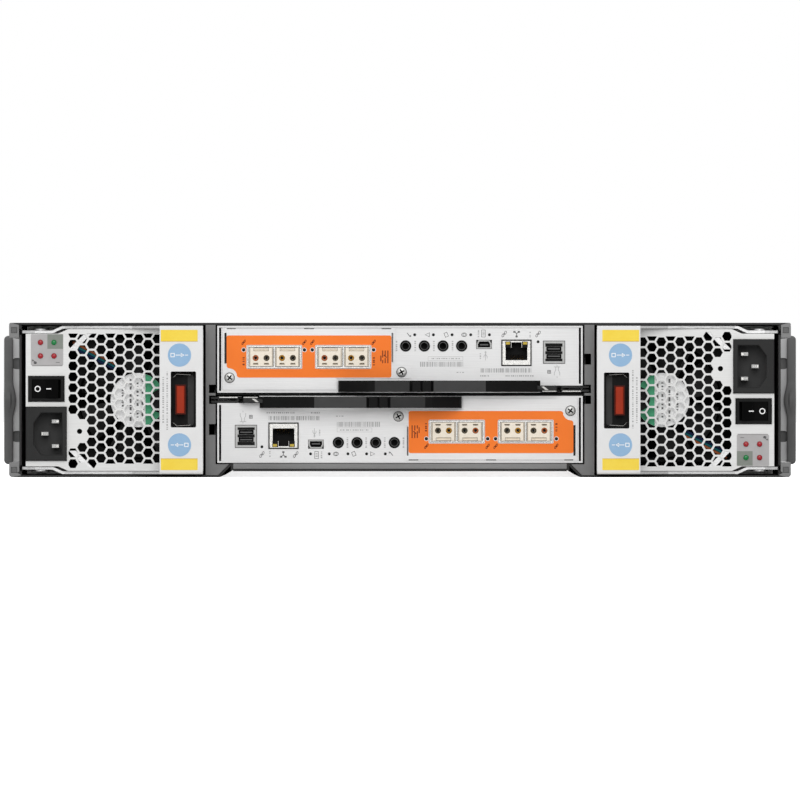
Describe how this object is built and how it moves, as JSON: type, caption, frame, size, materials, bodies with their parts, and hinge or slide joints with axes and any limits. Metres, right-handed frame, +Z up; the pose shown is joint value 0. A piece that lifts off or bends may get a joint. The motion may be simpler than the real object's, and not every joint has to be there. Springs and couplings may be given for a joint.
{
  "type": "disk shelf enclosure",
  "caption": "Rack-mount disk shelf enclosure with hot-swap controller modules, fan-cooled power supplies and front drive carriers.",
  "frame": {"origin": "centre of the underside of the enclosure, half way along its whole depth with handles and ear caps", "axes": "+Z up; +Y from the rear face with the power modules and controllers to the front face with the drives; +X to the right as one looks at the rear face"},
  "size_m": [0.483, 0.641, 0.0879],
  "materials": {
    "zinc_steel": "satin zinc-plated sheet",
    "divider_grey": "matt grey",
    "module_steel": "satin light grey",
    "controller_steel": "satin light grey",
    "handle_white": "satin off-white",
    "host_plate_orange": "satin orange",
    "black_plastic": "fine moulded texture",
    "rocker_plastic": "gloss",
    "release_red": "moulded",
    "fan_plastic": "glass-filled moulding",
    "circuit_board": "solder mask",
    "transceiver_cream": "nickel and cream plastic",
    "ear_plastic": "moulded",
    "carrier_plastic": "moulded"
  },
  "bodies": {
    "chassis": {"base_pan": "zinc_steel", "top_cover": "zinc_steel", "divider_left": "divider_grey", "divider_right": "divider_grey", "controller_shelf": "zinc_steel", "midplane": "circuit_board", "drive_cage": "zinc_steel", "ear_cap_left": "ear_plastic", "ear_cap_right": "ear_plastic"},
    "psu_left": {"psu_left_case": "module_steel", "psu_left_face_plate": "module_steel", "psu_left_vent_grille": "module_steel", "psu_left_power_inlet": "black_plastic", "psu_left_switch_frame": "black_plastic", "psu_left_fan_frame": "fan_plastic", "psu_left_power_board": "circuit_board"},
    "psu_left_handle_body": {"psu_left_handle": "handle_white", "psu_left_latch_cup": "black_plastic"},
    "psu_left_tab_body": {"psu_left_release_tab": "release_red"},
    "psu_left_rocker_body": {"psu_left_rocker": "rocker_plastic"},
    "psu_left_fan_body": {"psu_left_fan_rotor": "fan_plastic"},
    "psu_right": {"psu_right_case": "module_steel", "psu_right_face_plate": "module_steel", "psu_right_vent_grille": "module_steel", "psu_right_power_inlet": "black_plastic", "psu_right_switch_frame": "black_plastic", "psu_right_fan_frame": "fan_plastic", "psu_right_power_board": "circuit_board"},
    "psu_right_handle_body": {"psu_right_handle": "handle_white", "psu_right_latch_cup": "black_plastic"},
    "psu_right_tab_body": {"psu_right_release_tab": "release_red"},
    "psu_right_rocker_body": {"psu_right_rocker": "rocker_plastic"},
    "psu_right_fan_body": {"psu_right_fan_rotor": "fan_plastic"},
    "controller_lower": {"controller_lower_tray": "controller_steel", "controller_lower_cover": "controller_steel", "controller_lower_board": "circuit_board", "controller_lower_host_plate": "host_plate_orange", "controller_lower_transceivers": "transceiver_cream"},
    "controller_lower_lever_body": {"controller_lower_lever": "black_plastic"},
    "controller_lower_catch_body": {"controller_lower_catch": "black_plastic"},
    "controller_upper": {"controller_upper_tray": "controller_steel", "controller_upper_cover": "controller_steel", "controller_upper_board": "circuit_board", "controller_upper_host_plate": "host_plate_orange", "controller_upper_transceivers": "transceiver_cream"},
    "controller_upper_lever_body": {"controller_upper_lever": "black_plastic"},
    "controller_upper_catch_body": {"controller_upper_catch": "black_plastic"},
    "drive_carrier_11_body": {"drive_carrier_11": "carrier_plastic"},
    "drive_carrier_21_body": {"drive_carrier_21": "carrier_plastic"},
    "drive_carrier_31_body": {"drive_carrier_31": "carrier_plastic"},
    "drive_carrier_12_body": {"drive_carrier_12": "carrier_plastic"},
    "drive_carrier_22_body": {"drive_carrier_22": "carrier_plastic"},
    "drive_carrier_32_body": {"drive_carrier_32": "carrier_plastic"},
    "drive_carrier_13_body": {"drive_carrier_13": "carrier_plastic"},
    "drive_carrier_23_body": {"drive_carrier_23": "carrier_plastic"},
    "drive_carrier_33_body": {"drive_carrier_33": "carrier_plastic"},
    "drive_carrier_14_body": {"drive_carrier_14": "carrier_plastic"},
    "drive_carrier_24_body": {"drive_carrier_24": "carrier_plastic"},
    "drive_carrier_34_body": {"drive_carrier_34": "carrier_plastic"}
  },
  "joints": [
    {"name": "psu_left_slide", "type": "slide", "parent": "chassis", "child": "psu_left", "axis": [0, -1, 0], "range_m": [0, 0.345]},
    {"name": "psu_left_handle_hinge", "type": "hinge", "parent": "psu_left", "child": "psu_left_handle_body", "pos_m": [-0.2048, -0.29045, 0.04395], "axis": [0, 0, -1], "range_deg": [0, 70]},
    {"name": "psu_left_tab_slide", "type": "slide", "parent": "psu_left_handle_body", "child": "psu_left_tab_body", "axis": [1, 0, 0], "range_m": [0, 0.0032], "stiffness_N_per_m": 400, "springref_m": -0.002},
    {"name": "psu_left_rocker_hinge", "type": "hinge", "parent": "psu_left", "child": "psu_left_rocker_body", "pos_m": [-0.2013, -0.29845, 0.0503], "axis": [0, 0, 1], "range_deg": [0, 16]},
    {"name": "psu_left_fan_spin", "type": "hinge", "parent": "psu_left", "child": "psu_left_fan_body", "pos_m": [-0.1494, -0.29445, 0.04395], "axis": [0, 1, 0], "continuous": true},
    {"name": "psu_right_slide", "type": "slide", "parent": "chassis", "child": "psu_right", "axis": [0, -1, 0], "range_m": [0, 0.345]},
    {"name": "psu_right_handle_hinge", "type": "hinge", "parent": "psu_right", "child": "psu_right_handle_body", "pos_m": [0.2048, -0.29045, 0.04395], "axis": [0, 0, 1], "range_deg": [0, 70]},
    {"name": "psu_right_tab_slide", "type": "slide", "parent": "psu_right_handle_body", "child": "psu_right_tab_body", "axis": [-1, 0, 0], "range_m": [0, 0.0032], "stiffness_N_per_m": 400, "springref_m": -0.002},
    {"name": "psu_right_rocker_hinge", "type": "hinge", "parent": "psu_right", "child": "psu_right_rocker_body", "pos_m": [0.2013, -0.29845, 0.0376], "axis": [0, 0, -1], "range_deg": [0, 16]},
    {"name": "psu_right_fan_spin", "type": "hinge", "parent": "psu_right", "child": "psu_right_fan_body", "pos_m": [0.1494, -0.29445, 0.04395], "axis": [0, 1, 0], "continuous": true},
    {"name": "controller_lower_slide", "type": "slide", "parent": "chassis", "child": "controller_lower", "axis": [0, -1, 0], "range_m": [0, 0.345]},
    {"name": "controller_lower_lever_hinge", "type": "hinge", "parent": "controller_lower", "child": "controller_lower_lever_body", "pos_m": [-0.092, -0.29245, 0.0422], "axis": [0, 0, -1], "range_deg": [0, 60]},
    {"name": "controller_lower_catch_slide", "type": "slide", "parent": "controller_lower", "child": "controller_lower_catch_body", "axis": [-1, 0, 0], "range_m": [0, 0.0012], "stiffness_N_per_m": 1500, "springref_m": -0.001},
    {"name": "controller_upper_slide", "type": "slide", "parent": "chassis", "child": "controller_upper", "axis": [0, -1, 0], "range_m": [0, 0.345]},
    {"name": "controller_upper_lever_hinge", "type": "hinge", "parent": "controller_upper", "child": "controller_upper_lever_body", "pos_m": [0.092, -0.29245, 0.0522], "axis": [0, 0, 1], "range_deg": [0, 60]},
    {"name": "controller_upper_catch_slide", "type": "slide", "parent": "controller_upper", "child": "controller_upper_catch_body", "axis": [1, 0, 0], "range_m": [0, 0.0012], "stiffness_N_per_m": 1500, "springref_m": -0.001},
    {"name": "drive_carrier_11_slide", "type": "slide", "parent": "chassis", "child": "drive_carrier_11_body", "axis": [0, 1, 0], "range_m": [0, 0.22]},
    {"name": "drive_carrier_21_slide", "type": "slide", "parent": "chassis", "child": "drive_carrier_21_body", "axis": [0, 1, 0], "range_m": [0, 0.22]},
    {"name": "drive_carrier_31_slide", "type": "slide", "parent": "chassis", "child": "drive_carrier_31_body", "axis": [0, 1, 0], "range_m": [0, 0.22]},
    {"name": "drive_carrier_12_slide", "type": "slide", "parent": "chassis", "child": "drive_carrier_12_body", "axis": [0, 1, 0], "range_m": [0, 0.22]},
    {"name": "drive_carrier_22_slide", "type": "slide", "parent": "chassis", "child": "drive_carrier_22_body", "axis": [0, 1, 0], "range_m": [0, 0.22]},
    {"name": "drive_carrier_32_slide", "type": "slide", "parent": "chassis", "child": "drive_carrier_32_body", "axis": [0, 1, 0], "range_m": [0, 0.22]},
    {"name": "drive_carrier_13_slide", "type": "slide", "parent": "chassis", "child": "drive_carrier_13_body", "axis": [0, 1, 0], "range_m": [0, 0.22]},
    {"name": "drive_carrier_23_slide", "type": "slide", "parent": "chassis", "child": "drive_carrier_23_body", "axis": [0, 1, 0], "range_m": [0, 0.22]},
    {"name": "drive_carrier_33_slide", "type": "slide", "parent": "chassis", "child": "drive_carrier_33_body", "axis": [0, 1, 0], "range_m": [0, 0.22]},
    {"name": "drive_carrier_14_slide", "type": "slide", "parent": "chassis", "child": "drive_carrier_14_body", "axis": [0, 1, 0], "range_m": [0, 0.22]},
    {"name": "drive_carrier_24_slide", "type": "slide", "parent": "chassis", "child": "drive_carrier_24_body", "axis": [0, 1, 0], "range_m": [0, 0.22]},
    {"name": "drive_carrier_34_slide", "type": "slide", "parent": "chassis", "child": "drive_carrier_34_body", "axis": [0, 1, 0], "range_m": [0, 0.22]}
  ]
}
